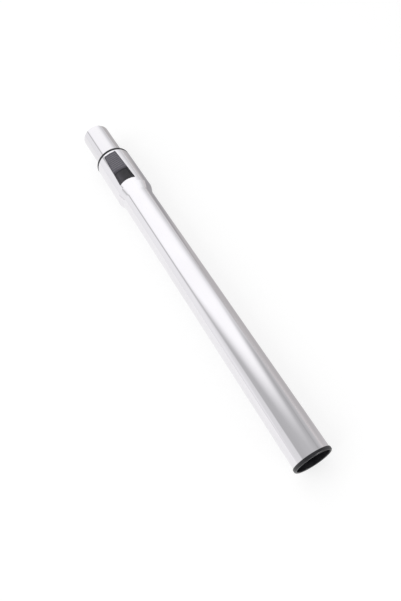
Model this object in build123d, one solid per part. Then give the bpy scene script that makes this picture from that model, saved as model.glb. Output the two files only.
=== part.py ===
from build123d import *
import os
from math import cos, degrees, radians, sin

# Telescopic vacuum extension tube: two chromed steel tubes, one sliding in the other,
# with a thumb-slide latch. The axis is +X, from the wide end's mouth (x = 0) to the narrow end.
# +Z is up, through the slide button. All sizes are in millimetres.

# Lengths along the tube
TOTAL_LENGTH = 458.0  # mouth to narrow end, pushed together
STUB_LENGTH = 55.95  # narrow tube beyond the collar's metal rim
COLLAR_LENGTH = 57.55  # full-width stretch behind that rim
TAPER_LENGTH = 9.0  # from the collar down to the main tube

# Outer tube
OUTER_OD = 35.0
COLLAR_STEP = 2.95  # how far the collar stands out from the main tube
TUBE_WALL = 0.6
SWAGE_RADIUS = 3.0  # rounded bends at both ends of the taper, outside

# Inner tube
TUBE_ROOM = 0.9  # between the two tubes, for the guide bush
SPIGOT_SIZING = 0.15  # sized end that goes into the next socket
SPIGOT_LENGTH = 50.0
SPIGOT_STEP = 1.0  # length of the cone between the two diameters
TUBE_EDGE = 0.2  # broken edge of the cut tube ends

# Locking notches and guide groove pressed into the inner tube
NOTCH_COUNT = 8
NOTCH_PITCH = 35.0
NOTCH_DEPTH = 1.2
GROOVE_DEPTH = 1.0
GROOVE_RADIUS = 2.6

# Window in the collar, wider towards the mouth
WINDOW_LENGTH = 49.2
WINDOW_RIM = 2.35  # metal left between the window and the collar's rim
WINDOW_TOP_WIDTH = 14.8
WINDOW_BOTTOM_WIDTH = 19.4
WINDOW_BULGE = 0.8  # how far the lower edge bows towards the button
WINDOW_CORNER = 0.9

# End ring at the wide end
RING_FLANGE = 3.0
RING_STEP = 0.7  # how far the flange stands out from the tube
RING_WALL = 0.85  # sleeve inside the tube, round the socket's bore
RING_SLEEVE = 27.0
RING_EDGE = 0.8
SOCKET_CHAMFER = 0.5

# Guide sleeve, the moulding in the collar
SLEEVE_FLANGE = 3.6
SLEEVE_FLANGE_INSET = 0.1  # flange's edge inside the collar's outer face
SLEEVE_EDGE = 0.35
SLEEVE_INSET = 1.0  # sleeve's lower end from the end of the collar's full width
CHANNEL_WALL = 2.15  # sleeve left under the slide
CHANNEL_SIDE = 1.0  # degrees of room each side of the slide's plate
KEY_INSET = 2.0  # key's end from the collar's rim
KEY_END_GAP = 2.5  # groove beyond the key at each end of the travel

# Felt seal in the sleeve's bore
SEAL_WIDTH = 3.0
SEAL_DEPTH = 1.25
SEAL_INSET = 0.8

# Slide button
STROKE = 6.0
PLATE_THICKNESS = 1.25
PLATE_HALF_ANGLE = 30.5
PLATE_LIFT = 0.1  # plate above the bottom of its channel
PLATE_BEVEL = 0.6  # bevel of the plate's lower end, which clears the taper
PLATE_LEAD = 2.0  # length of that bevel
PLATE_UNDER_LIP = 1.0  # plate hidden behind the window's lower edge at rest
PLATE_UNDER_RIM = 1.5  # plate hidden behind the window's upper edge at rest
PAD_LENGTH = 27.4
PAD_RISE = 0.45  # top of the pad above the collar, at its lower edge
PAD_FALL = 0.25  # how much lower the pad is at its upper edge
PAD_EDGE = 0.5
RIB_COUNT = 8
RIB_PITCH = 2.9
RIB_RADIUS = 0.9
RIB_HEIGHT = 0.35
DISH_HALF_ANGLE = 22.0
DISH_DEPTH = 0.65

# Locking bar, which the slide lifts by its two wings
BAR_BACK = 17.05  # bar's middle from the collar's rim
BAR_WIDTH = 2.6
BAR_NOSE = 8.4
BAR_LENGTH = 12.0
BAR_HEIGHT = 2.6
WING_HEIGHT = 1.15
BAR_LIFT = 0.3  # lift above the plain wall at the end of the stroke

# Leaf spring that presses the bar down
LEAF_LENGTH = 13.0
LEAF_WIDTH = 4.0
LEAF_FOOT = 2.5
LEAF_THICKNESS = 0.3

# Hollow under the pad and the two wedges in it
HOLLOW_WIDTH = 12.4
ROOF_DROP = 0.85  # hollow's roof below the collar's outer face
WEDGE_WIDTH = 1.4
WEDGE_GAP = 9.0  # between the two wedges
WEDGE_DROP = 0.25  # wedge's foot below the top of the inner tube
WEDGE_TIP = 0.2
WEDGE_FLAT = 0.9  # level stretch behind the ramp

# Return springs, one each side of the slide
SPRING_OD = 2.6
SPRING_WIRE = 0.45
SPRING_LENGTH = 19.5
SPRING_TURNS = 3
WIRE_SIDES = 4  # flats that stand for the round wire
SPRING_ANGLE = 36.5
EAR_THICKNESS = 2.5

# Guide bush on the inner tube's hidden end
BUSH_LENGTH = 25.0
BUSH_LIP = 1.2

# Clearances
PRESS_GAP = 0.05  # parts pushed home and left there
SLIDE_GAP = 0.15  # parts that slide on each other
SIDE_GAP = 0.35  # slide button in its window
STOP_GAP = 0.3  # faces that stop each other

# Sizes that follow
OUTER_R = OUTER_OD / 2
COLLAR_R = OUTER_R + COLLAR_STEP
MAIN_BORE_R = OUTER_R - TUBE_WALL
COLLAR_BORE_R = COLLAR_R - TUBE_WALL
INNER_R = MAIN_BORE_R - TUBE_ROOM
INNER_BORE_R = INNER_R - TUBE_WALL
SPIGOT_R = INNER_R - SPIGOT_SIZING
SOCKET_R = MAIN_BORE_R - PRESS_GAP - RING_WALL
RIM_END = TOTAL_LENGTH - STUB_LENGTH
COLLAR_START = RIM_END - COLLAR_LENGTH
TAPER_START = COLLAR_START - TAPER_LENGTH
WINDOW_TOP = RIM_END - WINDOW_RIM
WINDOW_BOTTOM = WINDOW_TOP - WINDOW_LENGTH
SLEEVE_START = COLLAR_START + SLEEVE_INSET
SLEEVE_BORE_R = INNER_R + SLIDE_GAP
SLEEVE_R = COLLAR_BORE_R - PRESS_GAP
FLANGE_R = COLLAR_R - SLEEVE_FLANGE_INSET
SPRING_RADIUS = (SLEEVE_BORE_R + SLEEVE_R) / 2
PAD_HEIGHT = COLLAR_R + PAD_RISE
HOLLOW_ROOF = COLLAR_R - ROOF_DROP
WEDGE_FOOT = INNER_R - WEDGE_DROP
CHANNEL_R = SLEEVE_BORE_R + CHANNEL_WALL
PLATE_IN_R = CHANNEL_R + PLATE_LIFT
PLATE_OUT_R = PLATE_IN_R + PLATE_THICKNESS
PLATE_START = WINDOW_BOTTOM - PLATE_UNDER_LIP
PLATE_END = WINDOW_TOP + PLATE_UNDER_RIM
PAD_END = WINDOW_TOP - SIDE_GAP
PAD_START = PAD_END - PAD_LENGTH
INNER_START = RING_FLANGE + RING_SLEEVE + STOP_GAP + BUSH_LIP
BUSH_END = INNER_START + BUSH_LENGTH
TRAVEL = SLEEVE_START - STOP_GAP - BUSH_END
BAR_X = RIM_END - BAR_BACK
BAR_FOOT = INNER_R + PRESS_GAP
BAR_TOP = BAR_FOOT + BAR_HEIGHT
NOTCH_RADIUS = BAR_WIDTH / 2 + SLIDE_GAP
NOTCH_AXIS_Z = INNER_R - NOTCH_DEPTH + NOTCH_RADIUS
HOLLOW_START = BAR_X - LEAF_LENGTH / 2 - STOP_GAP
HOLLOW_END = BAR_X + LEAF_LENGTH / 2 + STROKE + STOP_GAP
WEDGE_START = BAR_X + BAR_WIDTH / 4
SEAL_START = SLEEVE_START + SEAL_INSET
KEY_START = SEAL_START + SEAL_WIDTH
KEY_END = RIM_END - KEY_INSET
GROOVE_AXIS_Z = -(INNER_R - GROOVE_DEPTH + GROOVE_RADIUS)
EAR_END = PAD_START
EAR_START = EAR_END - EAR_THICKNESS
SPRING_START = EAR_START - PRESS_GAP - SPRING_LENGTH


def rod(x_start, x_end, radius, y=0.0, z=0.0):
    """Cylinder along the tube's axis direction."""
    place = Plane(origin=(x_start, y, z), x_dir=(0, 1, 0), z_dir=(1, 0, 0))
    return extrude(place * Circle(radius), amount=x_end - x_start)


def pipe(x_start, x_end, outer_radius, inner_radius):
    """Plain tube about the axis."""
    return rod(x_start, x_end, outer_radius) - rod(x_start - 1, x_end + 1, inner_radius)


def cross_rod(x, z, radius, length):
    """Cylinder across the tube, along Y."""
    place = Plane(origin=(x, -length / 2, z), x_dir=(1, 0, 0), z_dir=(0, 1, 0))
    return extrude(place * Circle(radius), amount=length)


def turned(points_and_arcs):
    """Solid turned about the axis from a closed outline of edges in the plane of X (along) and Y (radius)."""
    return revolve(make_face(points_and_arcs), axis=Axis.X)


def sector(x_start, x_end, inner_radius, outer_radius, from_angle, to_angle):
    """Curved block about the axis, between two angles measured from +Z towards +Y."""
    ring = pipe(x_start, x_end, outer_radius, inner_radius)
    reach = 3 * outer_radius

    def ray(angle):
        return (reach * sin(radians(angle)), reach * cos(radians(angle)))

    place = Plane(origin=(x_start - 1, 0, 0), x_dir=(0, 1, 0), z_dir=(1, 0, 0))
    wedge = make_face(Polyline((0, 0), ray(from_angle), ray(to_angle), close=True))
    return ring & extrude(place * wedge, amount=x_end - x_start + 2)


def swaged_form(offset, x_start, x_end):
    """Outer tube's form, moved inwards by offset: main tube, conical taper, collar; bends round outside."""
    low, high = OUTER_R - offset, COLLAR_R - offset
    outline = make_face(
        Polyline(
            (x_start, 0),
            (x_start, low),
            (TAPER_START, low),
            (COLLAR_START, high),
            (x_end, high),
            (x_end, 0),
            close=True,
        )
    )
    if offset == 0:
        bends = outline.vertices().filter_by_position(Axis.X, TAPER_START, COLLAR_START)
        outline = fillet(bends, SWAGE_RADIUS)
    return revolve(outline, axis=Axis.X)


def window_half_width(x):
    """Half the window's width at a place along the tube."""
    share = (WINDOW_TOP - x) / WINDOW_LENGTH
    return (WINDOW_TOP_WIDTH + (WINDOW_BOTTOM_WIDTH - WINDOW_TOP_WIDTH) * share) / 2


def window_cutter():
    """Straight-sided punch for the collar's window, with its lower edge bowed."""
    top, bottom = WINDOW_TOP_WIDTH / 2, WINDOW_BOTTOM_WIDTH / 2
    bow = (WINDOW_BOTTOM + WINDOW_BULGE, 0)
    outline = make_face(
        [
            Line((WINDOW_BOTTOM, bottom), (WINDOW_TOP, top)),
            Line((WINDOW_TOP, top), (WINDOW_TOP, -top)),
            Line((WINDOW_TOP, -top), (WINDOW_BOTTOM, -bottom)),
            ThreePointArc((WINDOW_BOTTOM, -bottom), bow, (WINDOW_BOTTOM, bottom)),
        ]
    )
    outline = fillet(outline.vertices(), WINDOW_CORNER)
    return extrude(outline, amount=2 * COLLAR_R)


def outer_tube():
    """Main tube with the swaged collar and the window for the slide button."""
    form = swaged_form(0.0, RING_FLANGE, RIM_END)
    hollow = swaged_form(TUBE_WALL, RING_FLANGE - 1, RIM_END + 1)
    return form - hollow - window_cutter()


def inner_tube():
    """Sliding tube: sized spigot, a row of pressed notches on top and a pressed guide groove underneath."""
    spigot_start = TOTAL_LENGTH - SPIGOT_LENGTH
    form = turned(
        Polyline(
            (INNER_START, 0),
            (INNER_START, INNER_R),
            (spigot_start - SPIGOT_STEP, INNER_R),
            (spigot_start, SPIGOT_R),
            (TOTAL_LENGTH - TUBE_EDGE, SPIGOT_R),
            (TOTAL_LENGTH, SPIGOT_R - TUBE_EDGE),
            (TOTAL_LENGTH, 0),
            close=True,
        ).edges()
    )
    hollow = turned(
        Polyline(
            (INNER_START - 1, 0),
            (INNER_START - 1, INNER_BORE_R),
            (spigot_start - SPIGOT_STEP, INNER_BORE_R),
            (spigot_start, SPIGOT_R - TUBE_WALL),
            (TOTAL_LENGTH + 1, SPIGOT_R - TUBE_WALL),
            (TOTAL_LENGTH + 1, 0),
            close=True,
        ).edges()
    )
    groove_start = KEY_START - KEY_END_GAP - TRAVEL
    groove_end = KEY_END + KEY_END_GAP
    for index in range(NOTCH_COUNT):
        notch_x = BAR_X - (index + 1) * NOTCH_PITCH
        form -= cross_rod(notch_x, NOTCH_AXIS_Z, NOTCH_RADIUS, 2 * INNER_R)
        hollow -= cross_rod(notch_x, NOTCH_AXIS_Z, NOTCH_RADIUS + TUBE_WALL, 2 * INNER_R)
    form -= rod(groove_start, groove_end, GROOVE_RADIUS, z=GROOVE_AXIS_Z)
    hollow -= rod(
        groove_start - TUBE_WALL, groove_end + TUBE_WALL, GROOVE_RADIUS + TUBE_WALL, z=GROOVE_AXIS_Z
    )
    return form - hollow


def rim_edges(body, radius):
    """Round edges of a turned solid at one radius, in order along the tube."""
    circles = body.edges().filter_by(GeomType.CIRCLE)
    return circles.filter_by(lambda edge: abs(edge.radius - radius) < 1e-6).sort_by(Axis.X)


def end_ring():
    """Moulded ring in the wide end: a flange outside the tube, a sleeve inside it and the socket bore."""
    flange_r = OUTER_R + RING_STEP
    sleeve_r = MAIN_BORE_R - PRESS_GAP
    length = RING_FLANGE + RING_SLEEVE
    body = turned(
        Polyline(
            (0, SOCKET_R + SOCKET_CHAMFER),
            (0, flange_r),
            (RING_FLANGE, flange_r),
            (RING_FLANGE, sleeve_r),
            (length, sleeve_r),
            (length, SOCKET_R),
            (SOCKET_CHAMFER, SOCKET_R),
            close=True,
        ).edges()
    )
    return chamfer(rim_edges(body, flange_r)[:1], RING_EDGE)


def guide_bush():
    """Bearing ring on the inner tube's hidden end, with a lip over that end; it runs in the outer tube."""
    bush = pipe(INNER_START - BUSH_LIP, BUSH_END, MAIN_BORE_R - SLIDE_GAP, INNER_BORE_R)
    return bush - rod(INNER_START - PRESS_GAP, BUSH_END + 1, INNER_R + PRESS_GAP)


def spring_centre(side):
    """Y and Z of a return spring's axis."""
    return (
        side * SPRING_RADIUS * sin(radians(SPRING_ANGLE)),
        SPRING_RADIUS * cos(radians(SPRING_ANGLE)),
    )


def side_angles(side, near, far):
    """Two angles on one side of the button, in rising order."""
    return sorted((side * near, side * far))


def spring_slot(side):
    """Room in the sleeve for one spring and the slide's ear behind it, open towards the collar."""
    width = SPRING_OD + 2 * SLIDE_GAP
    y, z = spring_centre(side)
    place = Plane(
        origin=(SPRING_START - PRESS_GAP, y, z),
        x_dir=(1, 0, 0),
        z_dir=(0, sin(radians(side * SPRING_ANGLE)), cos(radians(SPRING_ANGLE))),
    )
    length = EAR_END + STOP_GAP - (SPRING_START - PRESS_GAP)
    foot = place * Location((length / 2, 0, -width / 2))
    return foot * Box(length, width, 2 * COLLAR_R, align=(Align.CENTER, Align.CENTER, Align.MIN))


def guide_sleeve():
    """Moulding in the collar that carries the latch and guides the inner tube; its flange shows."""
    body = turned(
        Polyline(
            (SLEEVE_START, SLEEVE_BORE_R),
            (SLEEVE_START, SLEEVE_R),
            (RIM_END, SLEEVE_R),
            (RIM_END, FLANGE_R),
            (RIM_END + SLEEVE_FLANGE, FLANGE_R),
            (RIM_END + SLEEVE_FLANGE, SLEEVE_BORE_R),
            close=True,
        ).edges()
    )
    body = chamfer(rim_edges(body, FLANGE_R)[-1:], SLEEVE_EDGE)
    channel_angle = PLATE_HALF_ANGLE + CHANNEL_SIDE
    channel_end = PLATE_END + STOP_GAP
    body -= sector(SLEEVE_START - 1, channel_end, CHANNEL_R, COLLAR_R, -channel_angle, channel_angle)
    body -= rod(SEAL_START, KEY_START, SLEEVE_BORE_R + SEAL_DEPTH)
    bar_slot = Box(BAR_WIDTH + 2 * SLIDE_GAP, BAR_LENGTH + 2 * SLIDE_GAP, INNER_R)
    body -= Location((BAR_X, 0, INNER_R)) * bar_slot
    run_start, run_end = WEDGE_START - STROKE - STOP_GAP, HOLLOW_END + STOP_GAP
    run_width = WEDGE_WIDTH + 2 * SLIDE_GAP
    for side in (-1, 1):
        middle = Location(((run_start + run_end) / 2, side * (WEDGE_GAP + WEDGE_WIDTH) / 2, INNER_R))
        body -= middle * Box(run_end - run_start, run_width, INNER_R)
        body -= spring_slot(side)
        bridge = side_angles(side, 0, SPRING_ANGLE)
        body -= sector(SPRING_START, EAR_END + STOP_GAP, CHANNEL_R, COLLAR_R, *bridge)
    key = rod(KEY_START, KEY_END, GROOVE_RADIUS - SLIDE_GAP, z=GROOVE_AXIS_Z)
    return body + (key & rod(SLEEVE_START, RIM_END, SLEEVE_R))


def felt_seal():
    """Felt ring in the sleeve's bore that closes the gap round the inner tube."""
    outer_radius = SLEEVE_BORE_R + SEAL_DEPTH - PRESS_GAP
    return pipe(SEAL_START + PRESS_GAP, KEY_START - PRESS_GAP, outer_radius, INNER_R + PRESS_GAP)


def pad():
    """Raised thumb pad that stands up through the window."""
    low, high = window_half_width(PAD_START) - SIDE_GAP, window_half_width(PAD_END) - SIDE_GAP
    corners = [(PAD_START, -low), (PAD_START, low), (PAD_END, high), (PAD_END, -high)]
    block = extrude(make_face(Polyline(*corners, close=True)), amount=2 * COLLAR_R)
    side = make_face(
        Polyline(
            (PAD_START - 1, 0),
            (PAD_START - 1, PAD_HEIGHT + PAD_FALL / PAD_LENGTH),
            (PAD_END + 1, PAD_HEIGHT - PAD_FALL * (1 + 1 / PAD_LENGTH)),
            (PAD_END + 1, 0),
            close=True,
        )
    )
    block &= extrude(Plane.XZ * side, amount=COLLAR_R, both=True)
    block = fillet(block.faces().sort_by(Axis.Z)[-1].edges(), PAD_EDGE)
    return block - rod(PAD_START - 1, PAD_END + 1, (PLATE_IN_R + PLATE_OUT_R) / 2)


def pad_ribs():
    """Grip ribs across the pad, from its lower edge upwards."""
    ribs = []
    for index in range(RIB_COUNT):
        x = PAD_START + RIB_PITCH * (index + 1)
        top = PAD_HEIGHT - PAD_FALL * (x - PAD_START) / PAD_LENGTH
        length = 2 * (window_half_width(x + RIB_RADIUS) - SIDE_GAP - 2 * PAD_EDGE)
        ribs.append(cross_rod(x, top + RIB_HEIGHT - RIB_RADIUS, RIB_RADIUS, length))
    return ribs


def latch_hollow():
    """Room under the pad for the bar and the leaf spring, over the whole stroke."""
    length = HOLLOW_END - HOLLOW_START
    place = Location(((HOLLOW_START + HOLLOW_END) / 2, 0, HOLLOW_ROOF))
    return place * Box(length, HOLLOW_WIDTH, HOLLOW_ROOF, align=(Align.CENTER, Align.CENTER, Align.MAX))


def wedge(side):
    """Ramp that runs in under one wing of the bar and lifts it."""
    ramp_end = BAR_X + BAR_WIDTH / 2 + STROKE
    ramp_top = BAR_TOP - WING_HEIGHT + BAR_LIFT - PRESS_GAP
    leg_start = ramp_end + WEDGE_FLAT
    outline = Polyline(
        (WEDGE_START, WEDGE_FOOT),
        (WEDGE_START, WEDGE_FOOT + WEDGE_TIP),
        (ramp_end, ramp_top),
        (leg_start, ramp_top),
        (leg_start, HOLLOW_ROOF),
        (HOLLOW_END, HOLLOW_ROOF),
        (HOLLOW_END, WEDGE_FOOT),
        close=True,
    )
    solid = extrude(Plane.XZ * make_face(outline), amount=WEDGE_WIDTH / 2, both=True)
    return Location((0, side * (WEDGE_GAP + WEDGE_WIDTH) / 2, 0)) * solid


def plate_bevel():
    """Ring that bevels the plate's lower end."""
    return turned(
        Polyline(
            (PLATE_START - 1, COLLAR_R),
            (PLATE_START - 1, PLATE_OUT_R - PLATE_BEVEL),
            (PLATE_START, PLATE_OUT_R - PLATE_BEVEL),
            (PLATE_START + PLATE_LEAD, PLATE_OUT_R),
            (PLATE_START + PLATE_LEAD, COLLAR_R),
            close=True,
        ).edges()
    )


def slide_button():
    """Thumb slide: plate behind the window, ribbed pad, dished tongue, spring ears, lifting wedges."""
    button = sector(PLATE_START, PLATE_END, PLATE_IN_R, PLATE_OUT_R, -PLATE_HALF_ANGLE, PLATE_HALF_ANGLE)
    button -= plate_bevel()
    dish_r = PLATE_OUT_R - DISH_DEPTH
    button -= sector(PLATE_START - 1, PAD_START, dish_r, COLLAR_R, -DISH_HALF_ANGLE, DISH_HALF_ANGLE)
    button += pad()
    for rib in pad_ribs():
        button += rib
    spread = degrees((SPRING_OD / 2 - SLIDE_GAP) / SPRING_RADIUS)
    for side in (-1, 1):
        foot = side_angles(side, SPRING_ANGLE - spread, SPRING_ANGLE + spread)
        bridge = side_angles(side, 0, SPRING_ANGLE)
        button += sector(EAR_START, EAR_END, PLATE_IN_R, PLATE_OUT_R, *bridge)
        button += sector(EAR_START, EAR_END, SPRING_RADIUS - SPRING_OD / 2, PLATE_OUT_R, *foot)
    button -= latch_hollow()
    return button + wedge(-1) + wedge(1)


def locking_bar():
    """Steel bar with a round nose for the notches and a wing at each end; here it lies on the plain wall."""
    nose = cross_rod(BAR_X, BAR_FOOT + BAR_WIDTH / 2, BAR_WIDTH / 2, BAR_NOSE)
    neck_height = BAR_HEIGHT - BAR_WIDTH / 2
    top = Location((BAR_X, 0, BAR_TOP))
    hung = (Align.CENTER, Align.CENTER, Align.MAX)
    neck = top * Box(BAR_WIDTH, BAR_NOSE, neck_height, align=hung)
    wings = top * Box(BAR_WIDTH, BAR_LENGTH, WING_HEIGHT, align=hung)
    return nose + neck + wings


def leaf_spring():
    """Flat strip that stands on the sleeve by its two feet and presses on the bar between them."""
    foot_z, back_z = CHANNEL_R + PRESS_GAP, BAR_TOP + PRESS_GAP
    half, knee = LEAF_LENGTH / 2, BAR_WIDTH / 2
    under = [
        (-half, foot_z),
        (LEAF_FOOT - half, foot_z),
        (-knee, back_z),
        (knee, back_z),
        (half - LEAF_FOOT, foot_z),
        (half, foot_z),
    ]
    over = [(x, z + LEAF_THICKNESS) for x, z in reversed(under)]
    side = make_face(Polyline(*under, *over, close=True))
    strip = extrude(Plane.XZ * side, amount=LEAF_WIDTH / 2, both=True)
    return Location((BAR_X, 0, 0)) * strip


def return_spring(side):
    """Coil spring between the sleeve and one ear of the slide."""
    radius = (SPRING_OD - SPRING_WIRE) / 2
    height = SPRING_LENGTH - SPRING_WIRE
    path = Helix(pitch=height / SPRING_TURNS, height=height, radius=radius)
    section = Plane(origin=path @ 0, z_dir=path % 0) * RegularPolygon(SPRING_WIRE / 2, WIRE_SIDES)
    coil = sweep(section, path=path)
    y, z = spring_centre(side)
    start = SPRING_START + SPRING_WIRE / 2
    return Plane(origin=(start, y, z), x_dir=(0, 1, 0), z_dir=(1, 0, 0)) * coil


def main():
    """Build each sub-part and write it to its own file."""
    nodes = {
        "outer_tube": outer_tube(),
        "inner_tube": inner_tube(),
        "end_ring": end_ring(),
        "guide_bush": guide_bush(),
        "guide_sleeve": guide_sleeve(),
        "felt_seal": felt_seal(),
        "slide_button": slide_button(),
        "locking_bar": locking_bar(),
        "leaf_spring": leaf_spring(),
        "return_spring_left": return_spring(1),
        "return_spring_right": return_spring(-1),
    }
    os.makedirs("parts", exist_ok=True)
    for name, shape in nodes.items():
        export_step(shape, f"parts/{name}.step")


main()
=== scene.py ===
import logging
import math
from dataclasses import dataclass
from enum import Enum
from typing import Callable, ClassVar, Sequence

import bmesh
import bpy
from mathutils import Matrix, Vector


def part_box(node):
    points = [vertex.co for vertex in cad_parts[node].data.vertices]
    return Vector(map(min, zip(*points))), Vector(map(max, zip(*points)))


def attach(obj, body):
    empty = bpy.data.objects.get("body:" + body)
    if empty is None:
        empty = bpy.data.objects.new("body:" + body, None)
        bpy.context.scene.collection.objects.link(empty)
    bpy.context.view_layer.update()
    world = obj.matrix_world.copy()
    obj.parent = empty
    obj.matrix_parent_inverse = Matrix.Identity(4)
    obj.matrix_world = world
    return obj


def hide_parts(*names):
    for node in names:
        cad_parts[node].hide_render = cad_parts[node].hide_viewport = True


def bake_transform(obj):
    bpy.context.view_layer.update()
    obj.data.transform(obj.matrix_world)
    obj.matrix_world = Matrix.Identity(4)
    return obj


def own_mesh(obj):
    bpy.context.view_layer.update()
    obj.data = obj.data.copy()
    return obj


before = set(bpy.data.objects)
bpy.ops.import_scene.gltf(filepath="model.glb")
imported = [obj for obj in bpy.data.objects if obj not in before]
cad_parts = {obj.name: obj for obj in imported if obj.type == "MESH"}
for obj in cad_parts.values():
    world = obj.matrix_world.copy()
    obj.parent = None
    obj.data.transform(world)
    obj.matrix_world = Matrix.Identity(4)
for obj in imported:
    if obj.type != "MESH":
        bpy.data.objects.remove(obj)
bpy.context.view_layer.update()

LOG = logging.getLogger("suction_tube")

Colour = tuple[float, float, float]
Shade = tuple[float, float, float, float]
Span = tuple[float, float]
Stops = tuple[Span, ...]
Socket = bpy.types.NodeSocket
Value = Socket | float
Piece = bpy.types.Object

# Places of the colour sockets on Blender's Mix node
MIX_SHARE, MIX_FIRST, MIX_SECOND, MIX_RESULT = 0, 6, 7, 2

# Edges of a piece that turn by more than this stay sharp
SHARP_ANGLE = math.radians(35)


class Effect(Enum):
    """Surface effects that several finishes share, each one shader node group."""

    POLISH = "polish_marks"
    GRAIN = "moulded_grain"
    FILM = "handling_film"


class SocketKind(Enum):
    """Kinds of group socket."""

    VALUE = "NodeSocketFloat"
    COLOUR = "NodeSocketColor"


class Body(Enum):
    """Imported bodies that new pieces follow."""

    OUTER = "outer"
    BAR = "bar"


class Joint(Enum):
    """Packed joints of the record; no piece here follows one."""

    BUTTON = "button_slide"


class Slot(Enum):
    """Material slots of the record, passed with new pieces but not read."""

    BLACK_RING = "black_ring"
    FELT = "felt"
    SPRING_STEEL = "spring_steel"


def opaque(colour: Colour) -> Shade:
    """Colour with full alpha, as shader sockets take it."""
    return (*colour, 1.0)


def grey(level: float) -> Shade:
    """Neutral grey of a given level."""
    return (level, level, level, 1.0)


@dataclass
class Graph:
    """Short way to add and join shader nodes in one tree.

    Args:
        tree: the node tree that takes the nodes.
    """

    tree: bpy.types.NodeTree

    def add(self, kind: str, **settings: object) -> bpy.types.Node:
        """Add a node.

        Args:
            kind: Blender's node type name.
            settings: attributes to set on it.

        Returns:
            The new node.
        """
        node = self.tree.nodes.new(kind)
        for name, value in settings.items():
            setattr(node, name, value)
        return node

    def join(self, source: Socket, target: Socket) -> None:
        """Link one output to one input."""
        self.tree.links.new(source, target)

    def feed(self, target: Socket, value: Value | Sequence[float]) -> None:
        """Link a socket to an input, or set a plain value on it.

        Args:
            target: the input.
            value: the socket or the plain value.
        """
        if isinstance(value, bpy.types.NodeSocket):
            self.join(value, target)
        else:
            target.default_value = value

    def math(self, operation: str, *values: Value) -> Socket:
        """Math node.

        Args:
            operation: Blender's name of the operation.
            values: its inputs, sockets or numbers.

        Returns:
            The result socket.
        """
        node = self.add("ShaderNodeMath", operation=operation)
        for target, value in zip(node.inputs, values):
            self.feed(target, value)
        return node.outputs[0]

    def spread(self, value: Socket, span: Span, to_low: Value, to_high: Value,
               smooth: bool = False) -> Socket:
        """Map a value from one range to another, held at the ends.

        Args:
            value: what is mapped.
            span: values that become to_low and to_high.
            to_low: first end of the result.
            to_high: second end of the result.
            smooth: ease in and out instead of a straight ramp.

        Returns:
            The mapped socket.
        """
        node = self.add("ShaderNodeMapRange", interpolation_type="SMOOTHSTEP" if smooth else "LINEAR")
        for target, given in zip(node.inputs, (value, *span, to_low, to_high)):
            self.feed(target, given)
        return node.outputs[0]

    def rise(self, value: Socket, span: Span, smooth: bool = False) -> Socket:
        """0 before the span and 1 after it."""
        return self.spread(value, span, 0.0, 1.0, smooth)

    def fall(self, value: Socket, span: Span, smooth: bool = False) -> Socket:
        """1 before the span and 0 after it."""
        return self.spread(value, span, 1.0, 0.0, smooth)

    def noise(self, vector: Socket, scale: Value, detail: float = 3.0,
              rough: float = 0.5) -> Socket:
        """Noise texture.

        Args:
            vector: coordinates.
            scale: how many cells in a unit.
            detail: octaves.
            rough: weight of the finer octaves.

        Returns:
            The noise value socket.
        """
        node = self.add("ShaderNodeTexNoise")
        self.join(vector, node.inputs["Vector"])
        self.feed(node.inputs["Scale"], scale)
        node.inputs["Detail"].default_value = detail
        node.inputs["Roughness"].default_value = rough
        return node.outputs[0]

    def stretch(self, vector: Socket, scale: Sequence[float]) -> Socket:
        """Coordinates scaled by a different number along each axis.

        Args:
            vector: coordinates.
            scale: the three numbers.

        Returns:
            The scaled coordinates.
        """
        node = self.add("ShaderNodeVectorMath", operation="MULTIPLY")
        self.join(vector, node.inputs[0])
        node.inputs[1].default_value = scale
        return node.outputs[0]

    def mix(self, share: Value, first: "Socket | Sequence[float]",
            second: "Socket | Sequence[float]") -> Socket:
        """Mix two colours.

        Args:
            share: 0 for the first, 1 for the second.
            first: colour or socket.
            second: colour or socket.

        Returns:
            The mixed colour socket.
        """
        node = self.add("ShaderNodeMix", data_type="RGBA")
        self.feed(node.inputs[MIX_SHARE], share)
        self.feed(node.inputs[MIX_FIRST], first)
        self.feed(node.inputs[MIX_SECOND], second)
        return node.outputs[MIX_RESULT]

    def place(self) -> Socket:
        """Coordinates in metres, fixed to the piece."""
        return self.add("ShaderNodeTexCoord").outputs["Object"]

    def parts(self, vector: Socket) -> Sequence[Socket]:
        """The three parts of a vector.

        Args:
            vector: the vector.

        Returns:
            Its X, Y and Z sockets.
        """
        node = self.add("ShaderNodeSeparateXYZ")
        self.join(vector, node.inputs[0])
        return node.outputs

    def from_overhead(self, side: Socket, rise: Value) -> Socket:
        """Angle from overhead in degrees, positive towards +Y."""
        return self.math("DEGREES", self.math("ARCTAN2", side, rise))

    def across(self, angle: Socket, stops: Stops) -> Socket:
        """Slightly cool grey by the angle from overhead, seen from the tube's axis.

        Args:
            angle: the angle in degrees.
            stops: pairs of an angle and a brightness.

        Returns:
            The colour socket.
        """
        limit = 100.0
        cool = 1.01
        node = self.add("ShaderNodeValToRGB")
        self.join(self.rise(angle, (-limit, limit)), node.inputs[0])
        elements = node.color_ramp.elements
        while len(elements) < len(stops):
            elements.new(0.5)
        for element, (turn, level) in zip(elements, stops):
            element.position = (turn + limit) / (2 * limit)
            element.color = (level, level, min(1.0, level * cool), 1.0)
        return node.outputs[0]


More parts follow.
